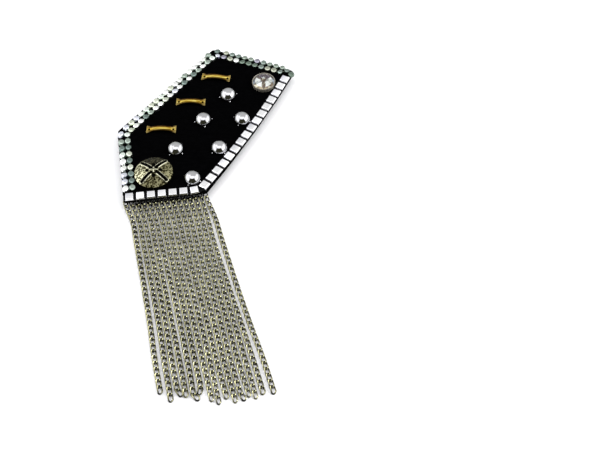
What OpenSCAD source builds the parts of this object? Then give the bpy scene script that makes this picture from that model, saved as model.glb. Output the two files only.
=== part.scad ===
// Chain fringe epaulette, lying on its back: a stiff felt shoulder panel trimmed with metal studs,
// with a brooch bar behind it and fifteen curb chains hanging from its lower edge.
// The origin is the middle of the whole outline, on the surface it lies on. +Y points away from the fringe.

/* [Panel] */
// Thickness of the felt panel
felt_t = 2.4; // [1.6:0.2:3]
// Height of the panel's back above the surface it lies on
back_z = 2.8; // [2.8:0.1:4]
// How far the long lower right edge bows out of straight
edge_bow = 1.6; // [0:0.2:3]

/* [Tile trim] */
// Side of a square tile
tile_w = 4.4; // [3.6:0.1:4.6]
// Height of a tile
tile_h = 0.9; // [0.6:0.1:1.4]
// Width of the ribbon that carries the tiles
ribbon_w = 5; // [4.6:0.1:5]
// Thickness of that ribbon
ribbon_t = 0.4; // [0.2:0.1:0.6]

/* [Stud mesh] */
// Width of a mesh stud across its flats
stud_w = 3.2; // [2.2:0.1:3.2]
// Height of a mesh stud
stud_h = 1.2; // [0.8:0.1:1.6]
// Distance between the two rows of mesh studs
row_gap = 3.4; // [3.3:0.1:3.5]

/* [Ornaments] */
// Diameter of a round dome stud
dome_d = 9; // [7:0.2:9]
// Height of a round dome stud
dome_h = 4.2; // [3:0.1:4.5]
// Diameter of the crystal's setting
setting_d = 12.5; // [11:0.5:13.5]
// Height of the wall of the crystal's setting
setting_h = 2.4; // [1.8:0.1:3]
// Diameter of the button
button_d = 19.5; // [17:0.5:19.5]
// Height of the button
button_h = 3.8; // [3.4:0.2:5]
// Length of a gold bar
bar_len = 15.5; // [13:0.5:16]
// Width of a gold bar at its flared ends
bar_w = 4.8; // [4:0.2:6]

/* [Brooch bar] */
// Length of the brooch bar's plate
pin_len = 40; // [30:1:46]
// Diameter of the brooch needle
needle_d = 0.9; // [0.7:0.1:1]

/* [Fringe] */
// Width of a curb chain that lies flat
chain_w = 3; // [2:0.1:3]
// Thickness of a curb chain that lies flat
chain_t = 1.7; // [1.2:0.1:1.8]

/* [Hidden] */
$fn = 32;
felt_top = back_z + felt_t;
tile_base = felt_top + ribbon_t;

// Corners of the felt panel, clockwise from the top: x, y, corner radius
panel_corners = [
    [2.7, 107.4, 2],
    [48.2, 88.2, 3],
    [1.2, 7, 2],
    [-40.6, 2.8, 1.5],
    [-46.9, 50, 3]
];
bow_steps = 8;

// Runs of tiles: first centre x, y, last centre x, y, number of tiles, bow out of the panel
tile_runs = [
    [41.7, 81.7, -0.1, 11.7, 16, 1.7],
    [-5.1, 8.6, -37.5, 6, 7, 0]
];
tile_count = tile_runs[0][4] + tile_runs[1][4];
// Turn of the tile next to the lower right corner, which sits a little askew
askew_tile = 17;
askew = 7;
// Share of its foot that the top of a tile keeps, and of a mesh stud
tile_taper = 0.86;
stud_taper = 0.8;

// Runs of mesh studs, inner row: first x, y, last x, y, number of columns
stud_runs = [
    [-36.3, 11.6, -41.1, 46.4, 9],
    [-39.3, 49.5, 2.3, 99.2, 18],
    [5.3, 101, 39.5, 87, 11]
];
// The mesh's last column is folded over the right corner: x, y of its two studs and their turn
fold_studs = [[43.3, 87.7, -50], [45.4, 85.1, -50]];

// Dome studs: x, y, turn of the four claws
dome_places = [
    [11.3, 71.8, 10], [-1.6, 54.9, 13], [18.8, 54.5, -22],
    [-15.4, 35.7, 46], [7, 35.3, 42], [-6.3, 16.3, 62]
];
crystal_place = [30.5, 79.2];
button_place = [-26, 20.3];

// Gold bars: x, y, turn
bars = [[4.6, 84.7, -9], [-8.6, 67.6, -4], [-23.5, 49.3, -2.5]];

// Dome stud's upright foot and four claws
dome_foot = 0.2;
dome_bands = 8;
claw_w = 0.8;
claw_reach = 0.25;
claw_h = 0.7;

// Cut stone: 16 facets a ring, from the table down to the point below the girdle
stone_gap = 0.1;
wall_t = 0.35;
stone_r = setting_d / 2 - wall_t - stone_gap;
stone_sides = 16;
cup_floor = 0.3;
girdle_z = 1.8;
// Rings of the stone: share of the girdle's radius, height over the girdle's foot, half steps of turn
stone_rings = [[1, 0, 0], [1, 0.4, 0], [0.62, 1.3, 1], [0.24, 1.8, 0]];

// Button: rim, raised cross whose arms have a groove each, and four dimples
rim_h = 1.5;
crown_bands = 10;
cross_turns = [50, 137, 227, 320];
cross_margin = 0.5;
arm_w = 2.6;
arm_rise = 0.45;
groove_w = 1;
groove_depth = 0.7;
groove_start = 1.5;
dimple_d = 1.2;
dimple_r = 3.4;
dimple_floor = button_h - 1.2;
dimple_turn = 2;

// Gold bar: half outline from above and half side view, both from the end to the middle
bar_plan = [[1, 0.5], [0.82, 0.44], [0.66, 0.34], [0, 0.31]];
bar_top = [[1, 0.9], [0.74, 0.9], [0.56, 1.4], [0.25, 1.8], [0, 1.9]];
bar_under = [[0, 0.8], [0.3, 0.7], [0.58, 0]];
bar_hole_d = 1.3;
bar_hole_in = 1.4;

// Brooch bar on the panel's back: one piece, with its needle closed
pin_place = [-1, 58];
pin_w = 6;
pin_plate_t = 0.6;
pin_block = 4;
needle_z = 1;

// Strands of the fringe, left to right: x where y is each of strand_ys, then the x and y of the end
strand_ys = [-5, -20, -65, -85];
strands = [
    [-36.2, -33.0, -24.2, -20.8, -17.6, -101],
    [-33.1, -29.8, -20.2, -16.6, -12.7, -105],
    [-30.3, -26.9, -17.1, -13.3, -9.5, -103],
    [-27.4, -24.0, -14.0, -9.8, -6.0, -103],
    [-24.6, -21.1, -10.4, -6.2, -2.3, -105.5],
    [-21.7, -18.2, -7.2, -2.8, 1.0, -102],
    [-18.9, -15.4, -4.1, 0.6, 5.4, -105.5],
    [-16.0, -12.5, -1.0, 3.7, 8.6, -107],
    [-13.2, -9.6, 2.1, 6.8, 12.0, -104.5],
    [-10.3, -6.8, 5.2, 10.0, 16.0, -106.5],
    [-7.5, -3.9, 8.3, 13.1, 19.0, -106],
    [-4.6, -1.0, 11.4, 16.4, 22.0, -104],
    [-1.8, 1.9, 14.5, 19.8, 25.0, -105],
    [1.1, 4.8, 17.7, 23.4, 28.2, -103],
    [4.9, 8.9, 21.7, 28.0, 33.0, -103]
];
// Where the strands pass under the panel's lower edge
first_exit_x = -39.5;
exit_pitch = 2.85;
exit_top_z = back_z - 0.1;
// Length of each strand behind the panel, where it is sewn on, and its slant there
seam_len = 4;
seam_slant = 0.2;
// Past the edge each strand is halfway down to the surface after this length
drop_len = 5;
tube_sides = 8;
// Strands that crowd each other are narrowed to stay about this far apart
strand_clear = 0.16;

function two_digits(n) = n < 10 ? str("0", n) : str(n);

function unit(v) = v / norm(v);
function left_of(v) = [-v[1], v[0]];
function heading(v) = atan2(v[1], v[0]);
function short_turn(a) = a > 180 ? a - 360 : a < -180 ? a + 360 : a;
function xy(p) = [p[0], p[1]];

// A point on the way from p to q at share t, pushed left of the way by a bow
function bowed(p, q, t, bow) = p + (q - p) * t + left_of(unit(q - p)) * bow * 4 * t * (1 - t);

// An arc that rounds corner q between its neighbours p and s
function rounded(p, q, s, r) =
    r == 0 ? [q] :
    let(
        u = unit(p - q), v = unit(s - q),
        half = acos(u * v) / 2,
        middle = q + unit(u + v) * r / sin(half),
        from = heading(q + u * r / tan(half) - middle),
        turn = short_turn(heading(q + v * r / tan(half) - middle) - from)
    )
    [for (k = [0 : 4]) middle + r * [cos(from + turn * k / 4), sin(from + turn * k / 4)]];

// The panel's corners with the bowed edge's own points added, each with its corner radius
panel_path = concat(
    [panel_corners[0], panel_corners[1]],
    [for (k = [1 : bow_steps - 1])
        concat(bowed(xy(panel_corners[1]), xy(panel_corners[2]), k / bow_steps, edge_bow), 0)],
    [panel_corners[2], panel_corners[3], panel_corners[4]]
);

function panel_outline() = [
    for (i = [0 : len(panel_path) - 1])
        let(
            n = len(panel_path),
            p = panel_path[(i + n - 1) % n],
            q = panel_path[i],
            s = panel_path[(i + 1) % n]
        )
        each rounded(xy(p), xy(q), xy(s), q[2])
];

// Every tile's centre, from the right corner down and along the lower edge
tile_places = [
    for (run = tile_runs)
        for (k = [0 : run[4] - 1]) bowed([run[0], run[1]], [run[2], run[3]], k / (run[4] - 1), run[5])
];
function tile_turn(i) =
    let(
        n = len(tile_places),
        lone = i == tile_runs[0][4] - 1,
        ahead = tile_places[lone ? i : min(i + 1, n - 1)],
        behind = tile_places[i == tile_runs[0][4] ? i : max(i - 1, 0)]
    )
    heading(behind - ahead) + (i == askew_tile - 1 ? askew : 0);

// The inner row of mesh studs, and the way out of the panel at each of them
inner_studs = [
    for (run = stud_runs)
        for (k = [0 : run[4] - 1]) bowed([run[0], run[1]], [run[2], run[3]], k / (run[4] - 1), 0)
];
function outward(i) =
    let(n = len(inner_studs)) left_of(unit(inner_studs[min(i + 1, n - 1)] - inner_studs[max(i - 1, 0)]));

module tile(i) {
    color("gainsboro")
        translate([tile_places[i][0], tile_places[i][1], tile_base])
            rotate(tile_turn(i))
                linear_extrude(height = tile_h, scale = tile_taper)
                    square(tile_w, center = true);
}

// The carrier ribbon follows the tiles' centres and ends half a tile past the first and the last
module tile_ribbon() {
    n = len(tile_places);
    start = tile_places[0] + unit(tile_places[0] - tile_places[1]) * ribbon_w / 2;
    end = tile_places[n - 1] + unit(tile_places[n - 1] - tile_places[n - 2]) * ribbon_w / 2;
    path = concat([start], tile_places, [end]);
    side = [
        for (i = [0 : n + 1])
            left_of(unit(path[min(i + 1, n + 1)] - path[max(i - 1, 0)])) * ribbon_w / 2
    ];
    color("#111111")
        translate([0, 0, felt_top])
            linear_extrude(height = ribbon_t)
                polygon(concat(
                    [for (i = [0 : n + 1]) path[i] + side[i]],
                    [for (i = [n + 1 : -1 : 0]) path[i] - side[i]]
                ));
}

module backing() {
    color("#101012")
        translate([0, 0, back_z])
            linear_extrude(height = felt_t)
                polygon(panel_outline());
}

module mesh_stud(place, turn) {
    half_side = 180 / 8;
    corner_d = stud_w / cos(half_side);
    translate([place[0], place[1], felt_top])
        rotate(turn + half_side)
            cylinder(h = stud_h, d1 = corner_d, d2 = corner_d * stud_taper, $fn = 8);
}

module stud_mesh() {
    color("silver") {
        for (i = [0 : len(inner_studs) - 1]) {
            mesh_stud(inner_studs[i], heading(outward(i)));
            mesh_stud(inner_studs[i] + outward(i) * row_gap, heading(outward(i)));
        }
        for (s = fold_studs) mesh_stud(s, s[2]);
    }
}

module crystal_setting() {
    r = setting_d / 2;
    color("dimgray")
        translate([crystal_place[0], crystal_place[1], felt_top])
            rotate_extrude($fn = 64)
                polygon([
                    [0, 0], [r - 0.4, 0], [r, 0.4], [r, setting_h - 0.2], [r - 0.2, setting_h],
                    [r - wall_t, setting_h], [r - wall_t, cup_floor], [0, cup_floor]
                ]);
}

// A round cut stone: a small table, two rings of facets over the girdle and a flat cone under it
module crystal() {
    n = stone_sides;
    rings = len(stone_rings);
    points = concat(
        [for (ring = stone_rings) for (k = [0 : n - 1])
            let(a = 360 / n * (k + ring[2] / 2))
            [stone_r * ring[0] * cos(a), stone_r * ring[0] * sin(a), girdle_z + ring[1]]],
        [[0, 0, cup_floor + stone_gap]]
    );
    bands = [
        for (j = [0 : rings - 2]) for (k = [0 : n - 1])
            let(
                a = j * n + k, b = j * n + (k + 1) % n, c = a + n, d = b + n,
                up = stone_rings[j + 1][2] >= stone_rings[j][2]
            )
            each up ? [[a, c, b], [b, c, d]] : [[a, c, d], [a, d, b]]
    ];
    color("white")
        translate([crystal_place[0], crystal_place[1], felt_top])
            polyhedron(
                points = points,
                faces = concat(
                    bands,
                    [for (k = [0 : n - 1]) [k, (k + 1) % n, rings * n]],
                    [[for (k = [n - 1 : -1 : 0]) (rings - 1) * n + k]]
                ),
                convexity = 4
            );
}

// The button's body, whose crown rises over the rim by the given height
module button_body(crown) {
    r = button_d / 2;
    rotate_extrude($fn = 64)
        polygon(concat(
            [[0, 0], [r - 0.5, 0], [r, 0.5], [r, rim_h]],
            [for (k = [1 : crown_bands])
                let(s = 1 - k / crown_bands) [r * s, rim_h + crown * (1 - pow(s, 2))]]
        ));
}

// The four arms of the cross as tall bars of one width, from a radius outward
module cross_arms(width, inner) {
    reach = button_d / 2 - cross_margin;
    for (turn = cross_turns)
        rotate(turn)
            translate([inner, -width / 2, 0])
                cube([reach - inner, width, button_h + 2]);
}

module button() {
    crown = button_h - rim_h;
    color("#8a8468")
        translate([button_place[0], button_place[1], felt_top])
            difference() {
                union() {
                    button_body(crown);
                    intersection() {
                        button_body(crown + arm_rise);
                        cross_arms(arm_w, 0);
                    }
                }
                difference() {
                    cross_arms(groove_w, groove_start);
                    button_body(crown - groove_depth);
                }
                for (turn = [0 : 90 : 270])
                    rotate(turn + dimple_turn)
                        translate([dimple_r, 0, dimple_floor])
                            cylinder(h = button_h, d = dimple_d);
            }
}

module dome(place) {
    r = dome_d / 2;
    arch = dome_h - dome_foot;
    color("silver")
        translate([place[0], place[1], felt_top]) {
            rotate_extrude($fn = 48)
                polygon(concat(
                    [[0, 0]],
                    [for (k = [0 : dome_bands])
                        let(a = 90 * k / dome_bands) [r * cos(a), dome_foot + arch * sin(a)]]
                ));
            for (turn = [0 : 90 : 270])
                rotate(turn + place[2])
                    translate([r - 1, -claw_w / 2, 0])
                        cube([1 + claw_reach, claw_w, claw_h]);
        }
}

function mirrored(half) = concat(half, [for (i = [len(half) - 1 : -1 : 0]) [-half[i][0], half[i][1]]]);

// A small arched bar with flared ends, each with a hole
module gold_bar(b) {
    half = bar_len / 2;
    plan = [for (p = bar_plan) [p[0] * half, p[1] * bar_w]];
    far = [for (p = bar_plan) [p[0] * half, -p[1] * bar_w]];
    top = mirrored([for (p = bar_top) [p[0] * half, p[1]]]);
    under = [
        for (s = [-1, 1])
            for (i = [0 : len(bar_under) - 1])
                let(p = bar_under[s < 0 ? len(bar_under) - 1 - i : i]) [s * p[0] * half, p[1]]
    ];
    color("#b8862c")
        translate([b[0], b[1], felt_top])
            rotate(b[2])
                difference() {
                    intersection() {
                        linear_extrude(height = 4)
                            polygon(concat(
                                mirrored(plan),
                                [for (i = [0 : len(far) - 1]) [-far[i][0], far[i][1]]],
                                [for (i = [len(far) - 1 : -1 : 0]) far[i]]
                            ));
                        rotate([90, 0, 0])
                            linear_extrude(height = bar_w + 2, center = true)
                                polygon(concat(top, [[-half, 0]], under, [[half, 0]]));
                    }
                    for (s = [-1, 1])
                        translate([s * (half - bar_hole_in), 0, -1])
                            cylinder(h = 4, d = bar_hole_d);
                }
}

// The brooch bar: a plate on the panel's back, and a closed needle between two end blocks
module pin_bar() {
    plate_z = back_z - pin_plate_t;
    color("silver")
        translate([pin_place[0], pin_place[1], 0]) {
            translate([-pin_len / 2, -pin_w / 2, plate_z])
                cube([pin_len, pin_w, pin_plate_t]);
            for (s = [-1, 1])
                translate([s * (pin_len - pin_block) / 2 - pin_block / 2, -pin_block / 2, 0])
                    cube([pin_block, pin_block, plate_z]);
            translate([-pin_len / 2 + 1, 0, needle_z])
                rotate([0, 90, 0])
                    cylinder(h = pin_len - 2, d = needle_d);
        }
}

// Height of the panel's lower edge in y at a given x
function lower_edge_y(x) =
    let(c = panel_corners[2], d = panel_corners[3]) c[1] + (x - c[0]) * (c[1] - d[1]) / (c[0] - d[0]);

// A strand's route: from its seam behind the panel, over the edge, down to the surface and along it
function strand_route(i) =
    let(
        s = strands[i],
        x = first_exit_x + i * exit_pitch,
        y = lower_edge_y(x),
        slant = (s[0] - x) / (y - strand_ys[0]),
        high = exit_top_z - chain_t / 2,
        low = chain_t / 2
    )
    [
        [x - seam_len * seam_slant, y + seam_len, high],
        [x, y, high],
        [x + drop_len * slant, y - drop_len, (high + low) / 2],
        for (j = [0 : 3]) [s[j], strand_ys[j], low],
        [s[4], s[5], low]
    ];

routes = [for (i = [0 : len(strands) - 1]) strand_route(i)];

// The way along a route at one of its points, and the level way across it
function along(route, j) = unit(route[min(j + 1, len(route) - 1)] - route[max(j - 1, 0)]);
function across(route, j) = let(a = along(route, j)) unit([-a[1], a[0], 0]);

// A strand's width at one point: the chain's own, or less where its neighbours leave no room for that
function strand_width(i, j) =
    let(
        side = across(routes[i], j),
        rooms = [
            for (k = [i - 1, i + 1])
                if (k >= 0 && k < len(routes)) abs((routes[k][j] - routes[i][j]) * side)
        ]
    )
    min(chain_w, min(rooms) - strand_clear);

// A flat tube of the chain's thickness along a strand's route
module flat_tube(i) {
    route = routes[i];
    n = len(route);
    sides = tube_sides;
    r = 1 / cos(180 / sides);
    points = [
        for (j = [0 : n - 1])
            let(
                side = across(route, j) * strand_width(i, j) / 2,
                up = cross(along(route, j), across(route, j)) * chain_t / 2
            )
            for (k = [0 : sides - 1])
                let(a = 360 / sides * (k + 0.5))
                route[j] + side * r * cos(a) + up * r * sin(a)
    ];
    polyhedron(
        points = points,
        faces = concat(
            [for (j = [0 : n - 2]) for (k = [0 : sides - 1])
                let(a = j * sides + k, b = j * sides + (k + 1) % sides)
                each [[a, b, b + sides], [a, b + sides, a + sides]]],
            [[for (k = [sides - 1 : -1 : 0]) k]],
            [[for (k = [0 : sides - 1]) (n - 1) * sides + k]]
        ),
        convexity = 4
    );
}

module chain(i) {
    color("darkkhaki") flat_tube(i);
}

backing();
tile_ribbon();
stud_mesh();
crystal_setting();
crystal();
button();
pin_bar();
for (i = [1 : len(dome_places)])
    dome(dome_places[i - 1]);
for (i = [1 : len(bars)])
    gold_bar(bars[i - 1]);
for (i = [1 : tile_count])
    tile(i - 1);
for (i = [1 : len(strands)])
    chain(i - 1);
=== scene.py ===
# A costume epaulette laid flat: black felt with metal trim, a crystal, a button and a fringe of curb chains.

import math
import random

import bpy
from bpy.props import FloatProperty, FloatVectorProperty, IntProperty, PointerProperty
from mathutils import Matrix, Vector
from mathutils.kdtree import KDTree


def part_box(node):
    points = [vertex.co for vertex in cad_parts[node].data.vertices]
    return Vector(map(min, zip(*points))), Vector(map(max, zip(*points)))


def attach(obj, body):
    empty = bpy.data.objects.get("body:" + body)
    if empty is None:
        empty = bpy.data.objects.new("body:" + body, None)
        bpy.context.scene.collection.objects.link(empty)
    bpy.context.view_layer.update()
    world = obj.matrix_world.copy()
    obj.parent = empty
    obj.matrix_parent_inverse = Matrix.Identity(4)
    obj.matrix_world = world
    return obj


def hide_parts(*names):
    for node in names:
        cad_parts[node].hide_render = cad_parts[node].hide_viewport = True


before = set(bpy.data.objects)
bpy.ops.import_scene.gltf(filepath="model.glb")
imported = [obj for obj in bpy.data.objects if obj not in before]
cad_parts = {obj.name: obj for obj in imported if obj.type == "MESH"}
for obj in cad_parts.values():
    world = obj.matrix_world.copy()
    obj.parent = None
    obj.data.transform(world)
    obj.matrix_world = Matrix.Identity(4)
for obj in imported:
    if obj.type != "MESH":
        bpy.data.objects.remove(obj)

bl_info = {
    "name": "Chain Fringe Epaulette",
    "version": (1, 0, 0),
    "blender": (4, 5, 0),
    "location": "3D View > Sidebar > Epaulette",
    "description": "Models the felt, the metal trim and the curb chains of a costume epaulette",
    "category": "Add Mesh",
}

MM = 0.001


def nodes_named(prefix):
    """The names of all nodes of one kind, in order."""
    return sorted(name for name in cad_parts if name.startswith(prefix))


FELT_BACK, FELT_TOP = (corner.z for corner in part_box("backing"))
CHAIN_NODES = nodes_named("chain_")
TILE_NODES = [name for name in nodes_named("tile_") if name != "tile_ribbon"]
# Strands whose last link lies askew, with its turn in degrees
END_SWINGS = {"chain_03": 26, "chain_05": 32, "chain_06": -20, "chain_11": 18}


# Settings

class EpauletteSizes(bpy.types.PropertyGroup):
    felt_voxel: FloatProperty(
        name="Felt Voxel", description="Size of the faces that the felt is remeshed to",
        default=0.7 * MM, unit="LENGTH")
    felt_lump: FloatProperty(
        name="Felt Lump", description="Depth of the shallow hollows in the felt's faces",
        default=0.1 * MM, unit="LENGTH")
    felt_slant: FloatProperty(
        name="Felt Slant", description="Height of the slant that the panel's lower edge is cut back by",
        default=1.8 * MM, unit="LENGTH")
    tile_bevel: FloatProperty(
        name="Tile Bevel", description="Width of the bevel round a tile's face",
        default=0.2 * MM, unit="LENGTH")
    mesh_link_w: FloatProperty(
        name="Mesh Link Width", description="Width of the small links that join the mesh studs",
        default=0.5 * MM, unit="LENGTH")
    stud_gap: FloatProperty(
        name="Stud Gap", description="Gap that two mesh studs of one row keep between them",
        default=0.15 * MM, unit="LENGTH")
    dome_d: FloatProperty(
        name="Dome Diameter", description="Diameter of a dome stud", default=9.0 * MM, unit="LENGTH")
    slot_w: FloatProperty(
        name="Slot Width", description="Width of the slots in the button's relief",
        default=1.45 * MM, unit="LENGTH")
    rail_w: FloatProperty(
        name="Rail Width", description="Width of the raised line round a slot of the button",
        default=0.45 * MM, unit="LENGTH")
    wire_d: FloatProperty(
        name="Chain Wire", description="Diameter of the wire of a curb link",
        default=0.8 * MM, unit="LENGTH")
    link_pitch: FloatProperty(
        name="Chain Pitch", description="Distance from one curb link to the next",
        default=3.15 * MM, unit="LENGTH")
    link_len: FloatProperty(
        name="Chain Link Length", description="Length of a curb link along the middle of its wire",
        default=4.2 * MM, unit="LENGTH")
    link_w: FloatProperty(
        name="Chain Link Width", description="Width of a curb link over its wire",
        default=3.0 * MM, unit="LENGTH")
    link_twist: FloatProperty(
        name="Chain Link Twist", description="Turn of one end of a curb link against the other",
        default=math.radians(88), subtype="ANGLE")


class EpauletteColours(bpy.types.PropertyGroup):
    felt: FloatVectorProperty(
        name="Felt", description="Colour of the felt", subtype="COLOR",
        default=(0.0006, 0.0006, 0.0007))
    silver: FloatVectorProperty(
        name="Silver", description="Colour of the tiles", subtype="COLOR",
        default=(0.93, 0.93, 0.94))
    chrome: FloatVectorProperty(
        name="Chrome", description="Colour of the domes", subtype="COLOR", default=(0.44, 0.44, 0.45))
    gold: FloatVectorProperty(
        name="Gold", description="Colour of the gold bars", subtype="COLOR", default=(0.6, 0.4, 0.05))
    # The chains show this metal colour where no shade is painted, on the tops that face up
    pewter: FloatVectorProperty(
        name="Pewter", description="Colour of the chains' worn places", subtype="COLOR",
        default=(0.78, 0.75, 0.42))
    # Near black painted shade, put into the links' holes and on all of each link that doesn't face up
    chain_painted_shade: FloatVectorProperty(
        name="Painted Chain Shade", description="Colour of the chains' hollows", subtype="COLOR",
        default=(0.008, 0.008, 0.004))
    antique: FloatVectorProperty(
        name="Antique", description="Colour of the button's high places", subtype="COLOR",
        default=(0.62, 0.62, 0.44))
    floor: FloatVectorProperty(
        name="Floor", description="Colour of the floor", subtype="COLOR", default=(0.93, 0.93, 0.935))


class EpauletteStage(bpy.types.PropertyGroup):
    lens: FloatProperty(
        name="Lens", description="Focal length for a sensor 36 mm wide", default=62.4, unit="CAMERA")
    eye: FloatVectorProperty(
        name="Eye", description="Place of the camera", subtype="XYZ", unit="LENGTH",
        default=(47.1 * MM, -307.5 * MM, 420.2 * MM))
    tilt: FloatProperty(
        name="Tilt", description="Camera's tilt away from straight down", default=math.radians(35.2),
        subtype="ANGLE")
    roll: FloatProperty(
        name="Roll", description="Camera's turn about its own axis", default=math.radians(-2.2),
        subtype="ANGLE")
    sky: FloatProperty(name="Sky", description="Strength of the light all round", default=1.05)
    key: FloatProperty(name="Key Light", description="Power of the main key light", default=2.0, unit="POWER")
    seed: IntProperty(name="Seed", description="Seed of all chance variation", default=7)


def sizes():
    return bpy.context.scene.epaulette_sizes


def colours():
    return bpy.context.scene.epaulette_colours


# Modelling helpers

def only(*pieces):
    """Leaves edit mode and selects the given pieces alone, with the first one active."""
    if bpy.context.object and bpy.context.object.mode != "OBJECT":
        bpy.ops.object.mode_set(mode="OBJECT")
    bpy.ops.object.select_all(action="DESELECT")
    for piece in pieces:
        piece.select_set(True)
    if pieces:
        bpy.context.view_layer.objects.active = pieces[0]


def added(name, data):
    """A new object in the scene."""
    made = bpy.data.objects.new(name, data)
    bpy.context.collection.objects.link(made)
    return made


def open_whole(piece):
    """Opens a piece in edit mode with all of it selected."""
    only(piece)
    bpy.ops.object.mode_set(mode="EDIT")
    bpy.ops.mesh.select_mode(type="VERT")
    bpy.ops.mesh.select_all(action="SELECT")


def start(add, name, **settings):
    """Adds a primitive by itself and opens it in edit mode with all of it selected."""
    only()
    add(**settings)
    piece = bpy.context.object
    piece.name = name
    open_whole(piece)
    return piece


def choose(piece, kind, test):
    """Opens a piece in edit mode with only the faces, edges or vertices selected that pass a test."""
    only(piece)
    bpy.ops.object.mode_set(mode="EDIT")
    bpy.ops.mesh.select_mode(type=kind)
    bpy.ops.mesh.select_all(action="DESELECT")
    bpy.ops.object.mode_set(mode="OBJECT")
    mesh = piece.data
    for item in {"FACE": mesh.polygons, "EDGE": mesh.edges, "VERT": mesh.vertices}[kind]:
        item.select = test(item)
    bpy.ops.object.mode_set(mode="EDIT")


def choose_top(piece):
    """Opens a piece in edit mode with only its upward faces selected."""
    choose(piece, "FACE", lambda face: face.normal.z > 0.9)


def apply_modifier(piece, kind, **settings):
    """Adds a modifier with its settings and applies it."""
    only(piece)
    modifier = piece.modifiers.new(kind, kind)
    for key, value in settings.items():
        setattr(modifier, key, value)
    bpy.ops.object.modifier_apply(modifier=modifier.name)


def ease_edges(piece, width, segments, angle):
    """Bevels the edges at which a piece turns by more than an angle in degrees."""
    apply_modifier(piece, "BEVEL", width=width, segments=segments, limit_method="ANGLE",
                   angle_limit=math.radians(angle))


def joined(pieces, name):
    """Several pieces as one."""
    only(*pieces)
    if len(pieces) > 1:
        bpy.ops.object.join()
    pieces[0].name = name
    return pieces[0]


def node_copy(name, node_names):
    """One closed mesh that is a copy of some nodes, with its doubles merged and its flat faces whole."""
    twins = []
    for source in (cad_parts[node_name] for node_name in node_names):
        twin = added(name, source.data.copy())
        twin.matrix_world = source.matrix_world
        twins.append(twin)
    piece = joined(twins, name)
    piece.data.materials.clear()
    open_whole(piece)
    bpy.ops.mesh.remove_doubles(threshold=0.002 * MM)
    bpy.ops.mesh.dissolve_limited(angle_limit=math.radians(1))
    only(piece)
    return piece


def copies(template, places, name):
    """One mesh made of a copy of the template at each place, and without the template."""
    only()
    made = []
    for place in places:
        twin = added(name, template.data.copy())
        twin.data.transform(place)
        made.append(twin)
    bpy.data.objects.remove(template)
    return joined(made, name)


def outward(piece):
    """Turns all of a piece's faces outwards."""
    open_whole(piece)
    bpy.ops.mesh.normals_make_consistent(inside=False)
    only(piece)


def done(piece, finish, nodes=(), smooth=30):
    """Puts a piece's place in its mesh, smooths it, gives it its finish and lets it ride on the part."""
    only(piece)
    bpy.ops.object.transform_apply(location=True, rotation=True, scale=True)
    bpy.ops.object.shade_smooth_by_angle(angle=math.radians(smooth))
    piece.data.materials.clear()
    piece.data.materials.append(finish)
    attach(piece, "root")
    if nodes:
        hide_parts(*nodes)


def next_ring(z0, z1, scale):
    """Extrudes the ring that is selected from one height to another, and scales it there."""
    bpy.ops.mesh.extrude_region_move(TRANSFORM_OT_translate={"value": (0, 0, z1 - z0)})
    bpy.ops.transform.resize(value=(scale, scale, 1), center_override=(0, 0, z1))


def lathe(name, sides, profile):
    """A turned solid about Z from its underside's edge to its top, by a list of radius and height."""
    radius, foot = profile[0]
    piece = start(bpy.ops.mesh.primitive_circle_add, name, vertices=sides, radius=radius,
                  fill_type="NOTHING", location=(0, 0, 0))
    bpy.ops.transform.translate(value=(0, 0, foot))
    for (r0, z0), (r1, z1) in zip(profile, profile[1:]):
        next_ring(z0, z1, r1 / r0 if r1 > 0 else 1)
    bpy.ops.mesh.merge(type="CENTER")
    corners = piece.data.vertices
    choose(piece, "EDGE", lambda edge: max(corners[i].co.z for i in edge.vertices) < foot + 1e-7)
    bpy.ops.mesh.edge_face_add()
    outward(piece)
    return piece


def values_on(piece, *names):
    """New attributes of a piece, each with one value for each vertex, which its finish reads."""
    for name in names:
        piece.data.attributes.new(name, "FLOAT", "POINT")
    return [piece.data.attributes[name].data for name in names]


def give_tint(piece, centres, tints):
    """Stores one colour for each repeated part, and says which part each vertex belongs to."""
    tree = KDTree(len(centres))
    for index, centre in enumerate(centres):
        tree.insert(centre, index)
    tree.balance()
    parts = [tree.find(vertex.co)[1] for vertex in piece.data.vertices]
    tint = piece.data.attributes.new("tint", "FLOAT_COLOR", "POINT")
    for item, part in zip(tint.data, parts):
        item.color = (*tints[part], 1)
    return parts


def tilted(piece, parts, centres, floor, spread, rng):
    """Tilts the top of each repeated part by a small chance amount, and leaves its foot as it is."""
    tilts = [(rng.gauss(0, spread), rng.gauss(0, spread)) for _ in centres]
    for vertex, part in zip(piece.data.vertices, parts):
        if vertex.co.z > floor:
            off = vertex.co - centres[part]
            vertex.co.z += tilts[part][0] * off.x + tilts[part][1] * off.y


def box_centre(node_name):
    low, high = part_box(node_name)
    return (low + high) / 2


# Material helpers

def plug(node, inputs):
    """Gives a node's inputs their plain values, or links them to other nodes' sockets."""
    for key, value in inputs.items():
        if isinstance(value, bpy.types.NodeSocket):
            node.id_data.links.new(value, node.inputs[key])
        else:
            node.inputs[key].default_value = value


def add_node(tree, kind, inputs=None, **settings):
    """A shader node with its settings and inputs, to the right of the nodes made before it."""
    made = tree.nodes.new(kind)
    made.location = (220 * len(tree.nodes), -200)
    for key, value in settings.items():
        setattr(made, key, value)
    plug(made, inputs or {})
    return made


def ramp(tree, source, stops):
    """A colour ramp with the given stops, fed by a value."""
    made = add_node(tree, "ShaderNodeValToRGB", {"Fac": source})
    elements = made.color_ramp.elements
    while len(elements) < len(stops):
        elements.new(0.5)
    for element, (position, colour) in zip(elements, stops):
        element.position = position
        element.color = (*colour, 1)
    return made.outputs["Color"]


def mix_colour(tree, factor, a, b, blend="MIX"):
    """Two colours mixed by a factor. Each may be a socket or a plain value."""
    a, b = (c if isinstance(c, bpy.types.NodeSocket) else (*c, 1) for c in (a, b))
    return add_node(tree, "ShaderNodeMix", {0: factor, 6: a, 7: b}, data_type="RGBA",
                    blend_type=blend).outputs[2]


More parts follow.
